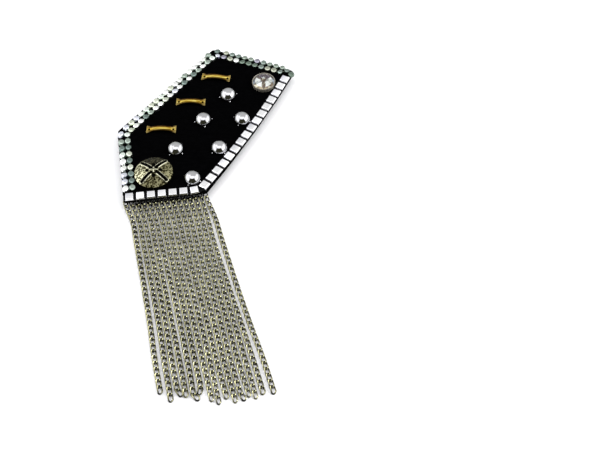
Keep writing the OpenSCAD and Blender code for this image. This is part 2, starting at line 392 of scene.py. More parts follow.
def times(tree, a, b):
    """One colour multiplied by another."""
    return mix_colour(tree, 1.0, a, b, "MULTIPLY")


def combined(tree, operation, a, b):
    """Two values put through a math operation."""
    return add_node(tree, "ShaderNodeMath", {0: a, 1: b}, operation=operation).outputs[0]


def spread(tree, value, low, high, kind="LINEAR"):
    """A mask that goes from 0 to 1 between two values."""
    return add_node(tree, "ShaderNodeMapRange", {"Value": value, "From Min": low, "From Max": high},
                    interpolation_type=kind).outputs["Result"]


def noise(tree, at, scale, detail, **inputs):
    """Noise on some coordinates."""
    return add_node(tree, "ShaderNodeTexNoise", {
        "Vector": at, "Scale": scale, "Detail": detail, **inputs}).outputs["Fac"]


def ribs(tree, at, scale, direction, distortion=0.0):
    """Soft ribs across a direction."""
    return add_node(tree, "ShaderNodeTexWave", {
        "Vector": at, "Scale": scale, "Distortion": distortion}, bands_direction=direction).outputs["Fac"]


def stretched(tree, at, turn, scale):
    """Coordinates that are turned and scaled, by which a pattern is drawn out."""
    return add_node(tree, "ShaderNodeMapping", {
        "Vector": at, "Rotation": turn, "Scale": scale}).outputs["Vector"]


def bump(tree, height, strength, distance):
    """A bump from a height between 0 and 1 that stands for a distance."""
    return add_node(tree, "ShaderNodeBump", {
        "Strength": strength, "Distance": distance, "Height": height}).outputs["Normal"]


def stored(tree, name, output="Fac"):
    """A value or colour that the piece itself stores."""
    return add_node(tree, "ShaderNodeAttribute", attribute_name=name).outputs[output]


def object_coordinates(tree):
    return add_node(tree, "ShaderNodeTexCoord").outputs["Object"]


def scaled(colour, *shares):
    """A colour times one share, or times one for each channel."""
    return [share * c for share, c in zip(shares * 3, colour)]


def new_material(name, principled):
    """A material with its Principled shader's plain values set."""
    made = bpy.data.materials.new(name)
    made.use_nodes = True
    shader = made.node_tree.nodes["Principled BSDF"]
    plug(shader, principled)
    return made, made.node_tree, shader


def metal_wear_group():
    """Fine grain, dull patches and a height for any bare metal, on given coordinates."""
    tree = bpy.data.node_groups.new("Metal Wear", "ShaderNodeTree")
    tree.interface.new_socket(name="Coordinates", in_out="INPUT", socket_type="NodeSocketVector")
    for label, value in (("Grain", 900.0), ("Smooth Roughness", 0.1), ("Dull Roughness", 0.3)):
        socket = tree.interface.new_socket(name=label, in_out="INPUT", socket_type="NodeSocketFloat")
        socket.default_value = value
    for label in ("Roughness", "Patches", "Height"):
        tree.interface.new_socket(name=label, in_out="OUTPUT", socket_type="NodeSocketFloat")
    given = add_node(tree, "NodeGroupInput").outputs
    at = given["Coordinates"]
    patches = spread(tree, noise(tree, at, 320.0, 4.0), 0.35, 0.7)
    rough = add_node(tree, "ShaderNodeMix", {
        0: patches, 2: given["Smooth Roughness"], 3: given["Dull Roughness"]}, data_type="FLOAT")
    add_node(tree, "NodeGroupOutput", {
        "Roughness": rough.outputs[0], "Patches": patches,
        "Height": noise(tree, at, given["Grain"], 3.0, Roughness=0.6)})
    return tree


def wear(tree, grain, smooth, dull):
    """Places the wear group in a material with its own values."""
    group = bpy.data.node_groups.get("Metal Wear") or metal_wear_group()
    at = object_coordinates(tree)
    return add_node(tree, "ShaderNodeGroup", {
        "Coordinates": at, "Grain": grain, "Smooth Roughness": smooth, "Dull Roughness": dull},
        node_tree=group).outputs


# Finishes

def black_felt():
    """Pressed black wool: matt, with slightly paler fibres that cross each other."""
    made, tree, shader = new_material("black felt", {
        "Roughness": 1.0, "Specular IOR Level": 0.0, "Sheen Weight": 0.1, "Sheen Roughness": 0.2})
    at = object_coordinates(tree)
    fibres = []
    for turn, draw in ((20, 6.0), (85, 5.0), (140, 7.0)):
        lie = stretched(tree, at, (0, 0.2, math.radians(turn)), (260.0, 260.0 * draw, 900.0))
        fibres.append(noise(tree, lie, 1.0, 2.0, Distortion=1.2))
    height = combined(tree, "MAXIMUM", fibres[0], fibres[1])
    height = combined(tree, "MAXIMUM", height, fibres[2])
    mask = spread(tree, height, 0.5, 0.75)
    base = colours().felt
    plug(shader, {"Base Color": mix_colour(tree, mask, base, scaled(base, 2.5)),
                  "Normal": bump(tree, height, 0.6, 0.15 * MM)})
    return made


def black_ribbon():
    """A narrow black ribbon with fine cross ribs."""
    made, tree, shader = new_material("black ribbon", {"Roughness": 0.75, "Specular IOR Level": 0.1})
    at = object_coordinates(tree)
    weave = combined(tree, "MULTIPLY", ribs(tree, at, 420.0, "X"), ribs(tree, at, 420.0, "Y"))
    base = colours().felt
    plug(shader, {"Base Color": mix_colour(tree, weave, base, scaled(base, 3)),
                  "Normal": bump(tree, weave, 0.7, 0.1 * MM)})
    return made


def bright_metal(name, colour, grain, smooth, dull, bump_strength=0.05, shade=0.85, tone_colour=None,
                 metallic=1.0):
    """Bare bright metal with fine wear. A stored tone mixes in a second colour.

    Without a colour of its own it takes the one that is stored as a tint.
    """
    made, tree, shader = new_material(name, {"Metallic": metallic})
    found = wear(tree, grain, smooth, dull)
    dulled = mix_colour(tree, found["Patches"], (1, 1, 1), (shade, shade, shade))
    base = times(tree, colour or stored(tree, "tint", "Color"), dulled)
    if tone_colour:
        base = mix_colour(tree, stored(tree, "tone"), base, tone_colour)
    plug(shader, {"Base Color": base, "Roughness": found["Roughness"],
                  "Normal": bump(tree, found["Height"], bump_strength, 0.05 * MM)})
    return made


def streaked_gold():
    """Gold with streaks along the bar, with painted shade along its sides, a painted highlight down its
    middle and a paler amber painted on its ends as highlights.
    """
    made, tree, shader = new_material("streaked gold", {"Metallic": 1.0})
    gold = colours().gold
    along = stretched(tree, object_coordinates(tree), (0, 0, math.radians(5)), (90.0, 1500.0, 1500.0))
    streaks = noise(tree, along, 1.0, 4.0)
    light = ramp(tree, streaks, [
        (0.3, scaled(gold, 0.4, 0.33, 0.3)), (0.48, gold), (0.6, (1.0, 0.85, 0.28))])
    # Painted shade and highlight across the bar: near black on the near side, a bright painted highlight down
    # the middle, dark brown on the far side
    band = ramp(tree, stored(tree, "across"), [
        (0.1, (0.02, 0.014, 0.01)), (0.3, (0.3, 0.25, 0.18)), (0.5, (1.0, 1.0, 0.8)),
        (0.68, (0.8, 0.75, 0.6)), (0.85, (0.15, 0.1, 0.08))])
    # A paler amber is painted on the ends of the bar as corner highlights
    colour = mix_colour(tree, stored(tree, "tone"), times(tree, light, band), (0.4, 0.3, 0.1))
    found = wear(tree, 1200.0, 0.2, 0.35)
    plug(shader, {"Base Color": colour, "Roughness": found["Roughness"],
                  "Normal": bump(tree, streaks, 0.35, 0.1 * MM)})
    return made


def antiqued_metal():
    """Pewter whose hollows are dark, with a stippled surface that is painted bright as if lit on some
    quarters and dark as if shaded on others.
    """
    made, tree, shader = new_material("antiqued metal", {"Metallic": 1.0})
    at = object_coordinates(tree)
    high = colours().antique
    cells = add_node(tree, "ShaderNodeTexVoronoi", {
        "Vector": at, "Scale": 1150.0, "Randomness": 1.0}).outputs["Distance"]
    pits = mix_colour(tree, 0.5, cells, noise(tree, at, 900.0, 3.0))
    stipple = ramp(tree, pits, [
        (0.42, scaled(high, 0.02, 0.02, 0.01)), (0.5, scaled(high, 0.3, 0.28, 0.2)), (0.58, high)])
    # Painted light and shade by quarter, brightest towards the rim of the lit quarter
    painted_quarter_light_colour = ramp(tree, stored(tree, "painted_quarter_light"), [
        (0.0, (0.1, 0.09, 0.07)), (0.5, (0.55, 0.53, 0.42)), (1.0, (1.5, 1.5, 1.55))])
    colour = times(tree, stipple, painted_quarter_light_colour)
    for name, tone in (("relief", (0.75, 0.74, 0.55)), ("groove", (0.0015, 0.0015, 0.001))):
        colour = mix_colour(tree, stored(tree, name), colour, tone)
    found = wear(tree, 900.0, 0.28, 0.45)
    plug(shader, {"Base Color": colour, "Roughness": found["Roughness"],
                  "Normal": bump(tree, pits, 0.8, 0.25 * MM)})
    return made


def foiled_stone():
    """A clear cut stone on a foil: each facet has its own stored tint, a painted reflection, under a clear
    coat.
    """
    made, tree, shader = new_material("foiled stone", {
        "Metallic": 1.0, "Coat Weight": 1.0, "Coat Roughness": 0.02})
    found = wear(tree, 1500.0, 0.04, 0.12)
    cloud = mix_colour(tree, found["Patches"], (1.0, 1.0, 1.0), (0.7, 0.68, 0.62))
    plug(shader, {"Base Color": times(tree, stored(tree, "tint", "Color"), cloud),
                  "Roughness": found["Roughness"]})
    return made


def black_thread():
    """Twisted black sewing thread."""
    made, tree, shader = new_material("black thread", {"Roughness": 0.75, "Sheen Weight": 0.15})
    twist = ribs(tree, object_coordinates(tree), 900.0, "DIAGONAL", 2.0)
    base = colours().felt
    plug(shader, {"Base Color": mix_colour(tree, twist, base, scaled(base, 5)),
                  "Normal": bump(tree, twist, 0.6, 0.08 * MM)})
    return made


# Pieces

class EPAULETTE_OT_felt_panel(bpy.types.Operator):
    """Model the stiff felt panel with its soft cut edge"""
    bl_idname = "epaulette.felt_panel"
    bl_label = "Felt Panel"

    def execute(self, context):
        slant = sizes().felt_slant
        panel = node_copy("felt_panel", ["backing"])
        choose(panel, "FACE", lambda face: face.normal.z < -0.9)
        bpy.ops.transform.translate(value=(0, 0, slant))
        bpy.ops.mesh.inset(thickness=0.65 * slant, depth=slant)
        apply_modifier(panel, "REMESH", mode="VOXEL", voxel_size=sizes().felt_voxel)
        apply_modifier(panel, "SMOOTH", factor=0.5, iterations=3)
        lumps = bpy.data.textures.new("felt lumps", "CLOUDS")
        lumps.noise_scale = 3 * MM
        apply_modifier(panel, "DISPLACE", texture=lumps, texture_coords="LOCAL",
                       strength=sizes().felt_lump, mid_level=1.0)
        done(panel, black_felt(), ["backing"], smooth=60)
        return {"FINISHED"}


class EPAULETTE_OT_tile_ribbon(bpy.types.Operator):
    """Model the narrow ribbon that carries the tiles"""
    bl_idname = "epaulette.tile_ribbon"
    bl_label = "Tile Ribbon"

    def execute(self, context):
        ribbon = node_copy("woven_ribbon", ["tile_ribbon"])
        choose_top(ribbon)
        bpy.ops.mesh.inset(thickness=0.35 * MM)
        bpy.ops.mesh.inset(thickness=0.15 * MM, depth=-0.08 * MM)
        ease_edges(ribbon, 0.06 * MM, 2, 50)
        done(ribbon, black_ribbon(), ["tile_ribbon"])
        return {"FINISHED"}


# Brightness of single tiles, and the share of red, green and blue that a full painted shade takes from them:
# a lavender-grey painted shade and reflection over one half of each tile
TILE_SHADES = (0.9, 1.0, 1.05, 1.1)
MOST_PAINTED_SHADE = 0.35
PAINTED_SHADE_LOSS = (1.0, 1.0, 0.8, 0.0)


class EPAULETTE_OT_tiles(bpy.types.Operator):
    """Cut the bevelled faces of the square silver tiles"""
    bl_idname = "epaulette.tiles"
    bl_label = "Silver Tiles"

    def execute(self, context):
        bevel = sizes().tile_bevel
        tiles = node_copy("silver_tiles", TILE_NODES)
        choose_top(tiles)
        bpy.ops.mesh.inset(thickness=bevel, depth=0.12 * MM, use_individual=True)
        bpy.ops.mesh.inset(thickness=4 * bevel, depth=0.02 * MM, use_individual=True)
        only(tiles)
        rng = random.Random(context.scene.epaulette_stage.seed)
        centres = [box_centre(name) for name in TILE_NODES]
        silver = colours().silver
        parts = give_tint(tiles, centres, [scaled(silver, rng.choice(TILE_SHADES)) for _ in centres])
        # Painted shade: each tile gets a chance amount of lavender-grey shading that darkens one half of its
        # face, across a diagonal
        painted_shades = [rng.uniform(0.0, MOST_PAINTED_SHADE) for _ in centres]
        for vertex, part, item in zip(tiles.data.vertices, parts, tiles.data.attributes["tint"].data):
            off = vertex.co - centres[part]
            painted_shade = painted_shades[part] * smooth_step(0.7 * (off.y - off.x), -1.5 * MM, 2.5 * MM)
            item.color = [c * (1 - painted_shade * loss) for c, loss in zip(item.color, PAINTED_SHADE_LOSS)]
        tilted(tiles, parts, centres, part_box(TILE_NODES[0])[0].z + 0.2 * MM, 0.02, rng)
        ease_edges(tiles, 0.07 * MM, 2, 35)
        finish = bright_metal("silver tile", None, 700.0, 0.12, 0.25, 0.03, 0.9)
        done(tiles, finish, TILE_NODES, smooth=20)
        return {"FINISHED"}


# Tints of the cut mesh studs, drawn at random for each: partly the studs' own colours and partly painted
# reflections, bright ones with a few grey greens, and darker ones along the right edge
STUD_COLOURS_AND_REFLECTIONS = (
    (0.95, 0.96, 0.95), (0.95, 0.96, 0.95), (0.95, 0.96, 0.95), (0.92, 0.95, 0.9), (0.82, 0.9, 0.83),
    (0.7, 0.72, 0.8), (0.62, 0.66, 0.55), (0.34, 0.4, 0.35), (0.17, 0.22, 0.2),
)
MIXED_STUD_COLOURS_AND_REFLECTIONS = STUD_COLOURS_AND_REFLECTIONS[2:] + STUD_COLOURS_AND_REFLECTIONS[6:]
DARK_EDGE_STUD_COLOURS_AND_REFLECTIONS = (
    (0.8, 0.83, 0.8), (0.38, 0.4, 0.32), (0.28, 0.33, 0.28), (0.33, 0.32, 0.38), (0.22, 0.27, 0.24),
    (0.15, 0.2, 0.16),
)
LINK_TINT = (0.2, 0.22, 0.18)
# The right edge's studs lie beyond this, and the left edge's within as much of the first one
STUD_EDGE = 8 * MM
# A stud's width as its node has it, the most that it takes along its row, and its growth across the row
STUD_W = 3.2 * MM
STUD_ROOM = 4 * MM
STUD_GROWTH = 0.08
# The farthest that linked studs lie apart, and how much shorter than that their link is
LINK_REACH = 4.75 * MM
LINK_SINK = 2.2 * MM


class EPAULETTE_OT_stud_mesh(bpy.types.Operator):
    """Model the two rows of cut studs and the small links that join them"""
    bl_idname = "epaulette.stud_mesh"
    bl_label = "Stud Mesh"

    def execute(self, context):
        rng = random.Random(context.scene.epaulette_stage.seed + 1)
        studs = node_copy("cut_studs", ["stud_mesh"])
        centres = stud_centres(studs)
        choose_top(studs)
        bpy.ops.mesh.inset(thickness=0.5 * MM, depth=0.24 * MM, use_individual=True)
        only(studs)
        left = centres[0].x
        tints = []
        # Each stud's tint is partly a painted reflection; the right edge's studs get darker ones
        for centre in centres:
            if centre.x > STUD_EDGE:
                tints.append(rng.choice(DARK_EDGE_STUD_COLOURS_AND_REFLECTIONS))
            else:
                tints.append(rng.choice(MIXED_STUD_COLOURS_AND_REFLECTIONS if centre.x < left + STUD_EDGE else STUD_COLOURS_AND_REFLECTIONS))
        parts = give_tint(studs, centres, tints)
        draw_out(studs, parts, centres)
        tilted(studs, parts, centres, FELT_TOP + 0.2 * MM, 0.07, rng)
        band = joined([studs, stud_links(centres)], "stud_band")
        finish = bright_metal("cut mesh metal", None, 900.0, 0.1, 0.22, 0.05, 0.8)
        done(band, finish, ["stud_mesh"], smooth=15)
        return {"FINISHED"}


def draw_out(studs, parts, centres):
    """Draws each stud out along its row until it nearly meets the next one."""
    ways = []
    for a in centres:
        offs = sorted(((b - a).to_2d() for b in centres if b is not a), key=lambda off: off.length)
        along = offs[0].orthogonal().normalized()
        steps = [abs(off @ along) for off in offs[1:4] if abs(off @ along) > 0.7 * off.length]
        width = min([STUD_ROOM, *steps]) - sizes().stud_gap
        ways.append((along, width / STUD_W - 1))
    for vertex, part in zip(studs.data.vertices, parts):
        along, stretch = ways[part]
        across = along.orthogonal()
        off = (vertex.co - centres[part]).to_2d()
        shift = along * (off @ along) * stretch + across * (off @ across) * STUD_GROWTH
        vertex.co += shift.to_3d()


def stud_centres(studs):
    """The middle of each stud, found from the loose parts of a mesh."""
    only(added("loose_studs", studs.data.copy()))
    bpy.ops.mesh.separate(type="LOOSE")
    centres = []
    for part in list(bpy.context.selected_objects):
        centres.append(sum((Vector(corner) for corner in part.bound_box), Vector()) / 8)
        bpy.data.objects.remove(part)
    return sorted(centres, key=lambda centre: (centre.x, centre.y))


def stud_links(centres):
    """Small links between studs that are next to each other."""
    link = start(bpy.ops.mesh.primitive_cube_add, "stud_link", size=1)
    bpy.ops.transform.resize(value=(1.0, sizes().mesh_link_w, 0.4 * MM), center_override=(0, 0, 0))
    bpy.ops.mesh.bevel(offset=0.12 * MM, segments=1)
    places = []
    for i, a in enumerate(centres):
        for b in centres[i + 1:]:
            way = (b - a).to_2d()
            if way.length < LINK_REACH:
                middle = (a + b) / 2
                middle.z = FELT_TOP + 0.6 * MM
                turn = Matrix.Rotation(math.atan2(way.y, way.x), 4, "Z")
                stretch = Matrix.Diagonal((way.length - LINK_SINK, 1, 1, 1))
                places.append(Matrix.Translation(middle) @ turn @ stretch)
    links = copies(link, places, "stud_links")
    for item in links.data.attributes.new("tint", "FLOAT_COLOR", "POINT").data:
        item.color = (*LINK_TINT, 1)
    return links


class EPAULETTE_OT_domes(bpy.types.Operator):
    """Model the round mirror studs with their claws"""
    bl_idname = "epaulette.domes"
    bl_label = "Dome Studs"

    def execute(self, context):
        finish = bright_metal("mirror chrome", colours().chrome, 500.0, 0.06, 0.12, 0.02, 0.95)
        radius = sizes().dome_d / 2
        foot = 0.15 * MM
        steps = 18
        for name in nodes_named("dome_"):
            centre = box_centre(name)
            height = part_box(name)[1].z - FELT_TOP
            angles = [math.pi / 2 * k / steps for k in range(steps)]
            cap = lathe(name + "_cap", 48, [(radius, 0), *(
                (radius * math.cos(angle), foot + (height - foot) * math.sin(angle)) for angle in angles),
                (0, height)])
            piece = joined([cap, dome_claws(radius, claw_turn(name, centre))], name + "_bright")
            piece.data.transform(Matrix.Translation((centre.x, centre.y, FELT_TOP)))
            done(piece, finish, [name], smooth=40)
        return {"FINISHED"}


def claw_turn(name, centre):
    """The turn of a dome's four claws, read from the end corners of one claw of its node."""
    claw_w = 0.85 * MM
    offs = [(vertex.co - centre).to_2d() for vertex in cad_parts[name].data.vertices]
    tip = max(offs, key=lambda off: off.length)
    middle = sum((off for off in offs if (off - tip).length < claw_w), Vector((0, 0)))
    return math.atan2(middle.y, middle.x)


def dome_claws(radius, turn):
    """Four small claws that stand just clear of a dome's edge."""
    claw_size = 0.5 * MM
    claw = start(bpy.ops.mesh.primitive_cube_add, "claw", size=claw_size)
    bpy.ops.mesh.subdivide(number_cuts=2, smoothness=1.0)
    choose(claw, "VERT", lambda vertex: vertex.co.x > 0.1 * claw_size)
    bpy.ops.transform.resize(value=(1, 0.8, 0.7), center_override=(0, 0, -0.27 * MM))
    out = Matrix.Translation((radius + 0.1 * claw_size, 0, claw_size / 2))
    return copies(claw, [Matrix.Rotation(turn + math.pi / 2 * k, 4, "Z") @ out for k in range(4)], "claws")


# A bar's half width along its middle, and how much wider it is at its flared ends
BAR_HALF_W = 1.55 * MM
BAR_FLARE = 0.85 * MM


class EPAULETTE_OT_gold_bars(bpy.types.Operator):
    """Soften the arched gold bars and streak them"""
    bl_idname = "epaulette.gold_bars"
    bl_label = "Gold Bars"

    def execute(self, context):
        finish = streaked_gold()
        for name in nodes_named("gold_bar_"):
            bar = node_copy(name + "_smooth", [name])
            ease_edges(bar, 0.9 * MM, 4, 5)
            centre = box_centre(name)
            offs = [vertex.co - centre for vertex in bar.data.vertices]
            reach = max(off.to_2d().length for off in offs)
            ends = [off for off in offs if off.x > 0.8 * reach]
            rise = sum(off.y / off.x for off in ends) / len(ends)
            tone, across = values_on(bar, "tone", "across")
            for index, off in enumerate(offs):
                share = off.to_2d().length / reach
                half_w = BAR_HALF_W + BAR_FLARE * smooth_step(share, 0.55, 1)
                # Where the painted corner highlights lie, and the place across the bar that the painted shade
                # and highlight follow
                tone[index].value = smooth_step(share, 0.93, 0.99)
                across[index].value = 0.5 + 0.5 * (off.y - rise * off.x) / half_w
            done(bar, finish, [name], smooth=32)
        return {"FINISHED"}


# Tints of the stone's facets, painted reflections and glints: white where the light is painted as coming
# straight back, warm glints, mauve and steel ones
STONE_PAINTED_GLINTS = {
    "white": ((1.0, 1.05, 1.05), (0.9, 0.95, 0.95), (0.55, 0.6, 0.6)),
    "warm": ((0.09, 0.06, 0.03), (0.24, 0.2, 0.13), (0.05, 0.04, 0.02), (0.34, 0.32, 0.24),
             (0.12, 0.08, 0.06)),
    "mauve": ((0.07, 0.04, 0.04), (0.12, 0.09, 0.12), (0.16, 0.12, 0.1), (0.05, 0.03, 0.06)),
    "steel": ((0.1, 0.12, 0.14), (0.4, 0.45, 0.52), (0.06, 0.07, 0.09), (0.2, 0.24, 0.28)),
    "dark": ((0.05, 0.03, 0.02), (0.09, 0.05, 0.04)),
}
# The stone's point as a share of its radius, and its rings above it: radius as a share, height, and
# whether a ring is turned by half a facet
POINT_SHARE = 0.15
STONE_RINGS = ((1.0, 1.4 * MM, False), (1.0, 1.75 * MM, False), (0.8, 2.35 * MM, True),
               (0.5, 2.85 * MM, True), (0.22, 3.15 * MM, True))


class EPAULETTE_OT_crystal(bpy.types.Operator):
    """Model the cut stone, whose facets each have their own painted glint, and its fluted cup"""
    bl_idname = "epaulette.crystal"
    bl_label = "Crystal"

    def execute(self, context):
        seed = context.scene.epaulette_stage.seed
        low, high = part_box("crystal")
        centre, radius = (low + high) / 2, (high.x - low.x) / 2
        stone = cut_stone(radius)
        stone.data.transform(Matrix.Translation((centre.x, centre.y, low.z)))
        tint = stone.data.attributes.new("tint", "FLOAT_COLOR", "FACE")
        # Each facet's tint is a painted reflection, chosen by the facet's place
        for face in stone.data.polygons:
            off = (face.center - centre).to_2d()
            share, heading = off.length / radius, math.degrees(math.atan2(off.y, off.x))
            rng = random.Random(f"{seed} {share:.2f} {round(heading, 1) % 360:.1f}")
            tint.data[face.index].color = (*rng.choice(STONE_PAINTED_GLINTS[facet_kind(share, heading)]), 1)
        done(stone, foiled_stone(), ["crystal"], smooth=1)
        low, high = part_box("crystal_setting")
        cup = fluted_cup((high.x - low.x) / 2, high.z - low.z)
        cup.data.transform(Matrix.Translation((centre.x, centre.y, low.z)))
        metal = bright_metal("cup metal", (0.3, 0.28, 0.23), 800.0, 0.35, 0.55, 0.1, 0.5, metallic=0.3)
        done(cup, metal, ["crystal_setting"], smooth=35)
        return {"FINISHED"}


def cut_stone(radius):
    """A round cut stone on its point: cone, girdle, kite facets, star facets and a small table."""
    sides = 16
    stone = start(bpy.ops.mesh.primitive_circle_add, "cut_stone", vertices=sides,
                  radius=POINT_SHARE * radius, fill_type="NGON", location=(0, 0, 0))
    share, height = POINT_SHARE, 0.0
    for next_share, z, turned in STONE_RINGS:
        next_ring(height, z, next_share / share)
        if turned:
            bpy.ops.transform.rotate(value=math.pi / sides, orient_axis="Z", center_override=(0, 0, z))
        share, height = next_share, z
    bpy.ops.mesh.select_all(action="SELECT")
    bpy.ops.mesh.quads_convert_to_tris(quad_method="FIXED")
    outward(stone)
    return stone


def fluted_cup(radius, height):
    """The stone's cup, with a thin lip and fine upright flutes round its wall."""
    lip, floor = radius - 0.45 * MM, 0.25 * MM
    cup = lathe("fluted_cup", 144, [
        (radius - 0.3 * MM, 0), (radius - 0.05 * MM, floor), (radius - 0.05 * MM, 1.0 * MM),
        (radius, height - 0.45 * MM), (radius - 0.1 * MM, height - 0.1 * MM),
        (radius - 0.22 * MM, height), (lip, height - 0.15 * MM), (lip, floor), (0, floor)])
    flutes, depth = 24, 0.22 * MM
    for vertex in cup.data.vertices:
        away = vertex.co.to_2d().length
        if away > radius - 0.2 * MM and 0.1 * MM < vertex.co.z < height - 0.3 * MM:
            flute = 0.5 + 0.5 * math.cos(flutes * math.atan2(vertex.co.y, vertex.co.x))
            shrink = 1 - depth * flute / away
            vertex.co.x *= shrink
            vertex.co.y *= shrink
    return cup


def facet_kind(share, heading):
    """Which painted glint a facet has, from its share of the radius and its heading in degrees."""
    if share < 0.12:
        return "warm"
    if share < 0.32:
        return "white" if 50 < heading < 130 else "dark"
    if share < 0.7:
        if 25 < heading < 155:
            return "mauve"
        return "warm" if -105 < heading < -75 else "white"
    if -160 < heading < -20:
        return "warm"
    return "mauve" if 20 < heading < 160 else "steel"


class EPAULETTE_OT_button(bpy.types.Operator):
    """Model the round button with its crossed and grooved relief"""
    bl_idname = "epaulette.button"
    bl_label = "Button"

    def execute(self, context):
        low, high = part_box("button")
        centre = box_centre("button")
        radius, height = (high.x - low.x) / 2, high.z - FELT_TOP - 0.45 * MM
        rim, steps = 1.5 * MM, 62
        shares = [1 - k / steps for k in range(1, steps)]
        button = lathe("button_relief", 200, [
            (radius - 0.5 * MM, 0), (radius - 0.15 * MM, 0.15 * MM), (radius, 0.5 * MM), (radius, rim),
            *((radius * share, rim + (height - rim) * (1 - share ** 2)) for share in shares), (0, height)])
        carve_button(button, radius, rim)
        button.data.transform(Matrix.Translation((centre.x, centre.y, FELT_TOP)))
        done(button, antiqued_metal(), ["button"], smooth=60)
        return {"FINISHED"}


def smooth_step(value, edge0, edge1):
    """0 before the first edge, 1 after the second and a smooth rise between them."""
    share = min(max((value - edge0) / (edge1 - edge0), 0), 1)
    return share * share * (3 - 2 * share)


def mark(distance, full, none):
    """1 as far as one distance from a line of the relief, and 0 from another one on."""
    return 1 - smooth_step(distance, full * MM, none * MM)


def to_line(x, y, ax, ay, bx, by):
    """Distance from a point to the straight line between two others."""
    dx, dy = bx - ax, by - ay
    share = min(max(((x - ax) * dx + (y - ay) * dy) / (dx * dx + dy * dy), 0), 1)
    return math.hypot(x - ax - share * dx, y - ay - share * dy)


# Headings of the button's four slots and the painted light of the quarter that follows each, anticlockwise:
# high for a quarter painted bright as if lit, low for one painted dark as if shaded
SLOT_TURNS = (50, 139, 227, 320)
QUARTER_PAINTED_LIGHT = (0.03, 0.72, 0.16, 0.36)
# How far right of the button's middle the relief lies, and how far from its middle the four dots lie
RELIEF_X = 0.3 * MM
DOT_AWAY = 3.4 * MM
RAISED_BY = 0.4 * MM
CUT_BY = 0.5 * MM


def carve_button(button, radius, rim):
    """Cuts the four slots with a raised line round each, the short middle bar and the four dots."""
    half_slot = sizes().slot_w / 2 / MM
    half_rail = half_slot + sizes().rail_w / MM
    inner, outer = 1.9 * MM, radius - 1.2 * MM
    relief, groove, painted_quarter_light = values_on(button, "relief", "groove", "painted_quarter_light")
    for vertex in button.data.vertices:
        if vertex.co.z < rim - 0.2 * MM:
            continue
        x, y = vertex.co.x - RELIEF_X, vertex.co.y
        high, cut, black = 0.0, 0.0, 0.0
        for turn in SLOT_TURNS:
            c, s = math.cos(math.radians(turn)), math.sin(math.radians(turn))
            near = to_line(x, y, inner * c, inner * s, outer * c, outer * s)
            clear = smooth_step(x * c + y * s, 2.2 * MM, 3.0 * MM)
            high = max(high, clear * mark(near, half_rail - 0.1, half_rail + 0.1))
            cut = max(cut, mark(near, half_slot - 0.1, half_slot + 0.1))
            black = max(black, mark(near, half_slot + 0.1, half_slot + 0.2))
        middle = max(mark(to_line(x, y, -2.1 * MM, 0, 2.1 * MM, 0), 0.2, 0.4),
                     mark(to_line(x, y, 0, 0, 0, -1.3 * MM), 0.25, 0.4),
                     mark(to_line(x, y, 0, 1.2 * MM, 0, 1.3 * MM), 0.3, 0.45))
        well = mark(to_line(x, y, 0, 1.9 * MM, 0, 2.0 * MM), 0.7, 0.9)
        cut, black = max(cut, well), max(black, well)
        for turn in (2, 92, 182, 272):
            c, s = math.cos(math.radians(turn)), math.sin(math.radians(turn))
            near = math.hypot(x - DOT_AWAY * c, y - DOT_AWAY * s)
            cut = max(cut, mark(near, 0.8, 1.0))
            black = max(black, mark(near, 0.95, 1.1))
        cut *= 1 - middle
        high = max(high * (1 - cut), middle)
        vertex.co.z += RAISED_BY * high - CUT_BY * cut
        heading = math.degrees(math.atan2(y, x)) % 360
        quarter = sum(heading > turn for turn in SLOT_TURNS) % 4
        relief[vertex.index].value = 0.9 * high
        groove[vertex.index].value = black * (1 - middle)
        # Painted light: each quarter gets its own brightness, rising towards the rim
        painted_quarter_light[vertex.index].value = QUARTER_PAINTED_LIGHT[quarter - 1] * (0.8 + 0.3 * math.hypot(x, y) / radius)


class EPAULETTE_OT_brooch_bar(bpy.types.Operator):
    """Finish the hidden brooch bar on the panel's back"""
    bl_idname = "epaulette.brooch_bar"
    bl_label = "Brooch Bar"

    def execute(self, context):
        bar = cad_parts["pin_bar"]
        bar.data.materials.clear()
        bar.data.materials.append(bright_metal("plated steel", (0.7, 0.71, 0.73), 600.0, 0.18, 0.35))
        return {"FINISHED"}


class EPAULETTE_OT_chains(bpy.types.Operator):
    """Model the strands of interlocking curb links"""
    bl_idname = "epaulette.chains"
    bl_label = "Curb Chains"

    def execute(self, context):
        # The chain's stored tone mixes in the near black painted shade
        finish = bright_metal("pewter chain", colours().pewter, 1500.0, 0.1, 0.2, 0.04, 0.7,
                              tone_colour=colours().chain_painted_shade)
        rng = random.Random(context.scene.epaulette_stage.seed + 2)
        for name in CHAIN_NODES:
            swing = math.radians(END_SWINGS.get(name, 0))
            strand = curb_strand(name + "_links", strand_route(name), swing, rng)
            done(strand, finish, [name], smooth=60)
        return {"FINISHED"}


def strand_route(name):
    """The middle and the width of each ring of a strand's node, from the panel to the end."""
    ring = 8
    points = {tuple(round(c, 6) for c in vertex.co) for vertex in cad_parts[name].data.vertices}
    ordered = [Vector(point) for point in sorted(points, key=lambda point: -point[1])]
    rings = [ordered[i:i + ring] for i in range(0, len(ordered), ring)]
    return [(sum(ends, Vector()) / ring, max((a - b).to_2d().length for a in ends for b in ends))
            for ends in rings]


